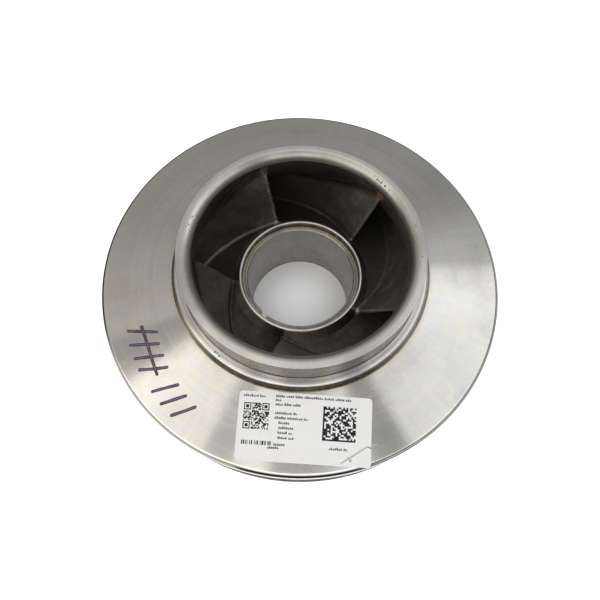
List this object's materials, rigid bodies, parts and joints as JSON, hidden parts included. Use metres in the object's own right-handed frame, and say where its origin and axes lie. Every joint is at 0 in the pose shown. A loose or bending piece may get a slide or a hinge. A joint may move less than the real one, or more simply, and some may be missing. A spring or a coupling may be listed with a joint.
{
  "type": "closed centrifugal pump impeller",
  "caption": "Closed centrifugal pump impeller with a conical front shroud, raised eye ring, swept vanes and a bored hub.",
  "frame": {"origin": "centre of the bore at the hub's back face, which is the lowest face", "axes": "+Z along the shaft axis towards the eye, -Y towards the label"},
  "size_m": [0.3412, 0.3412, 0.1181],
  "materials": {
    "turned_steel": "turned stainless steel",
    "cast_steel": "dark as-cast stainless steel",
    "paper": "white adhesive label"
  },
  "bodies": {
    "root": {"front_shroud": "turned_steel", "eye_ring": "turned_steel", "hub": "turned_steel", "rear_boss": "turned_steel", "back_shroud": "turned_steel", "vane_1": "cast_steel", "vane_2": "cast_steel", "vane_3": "cast_steel", "vane_4": "cast_steel", "vane_5": "cast_steel", "label": "paper"}
  },
  "joints": []
}
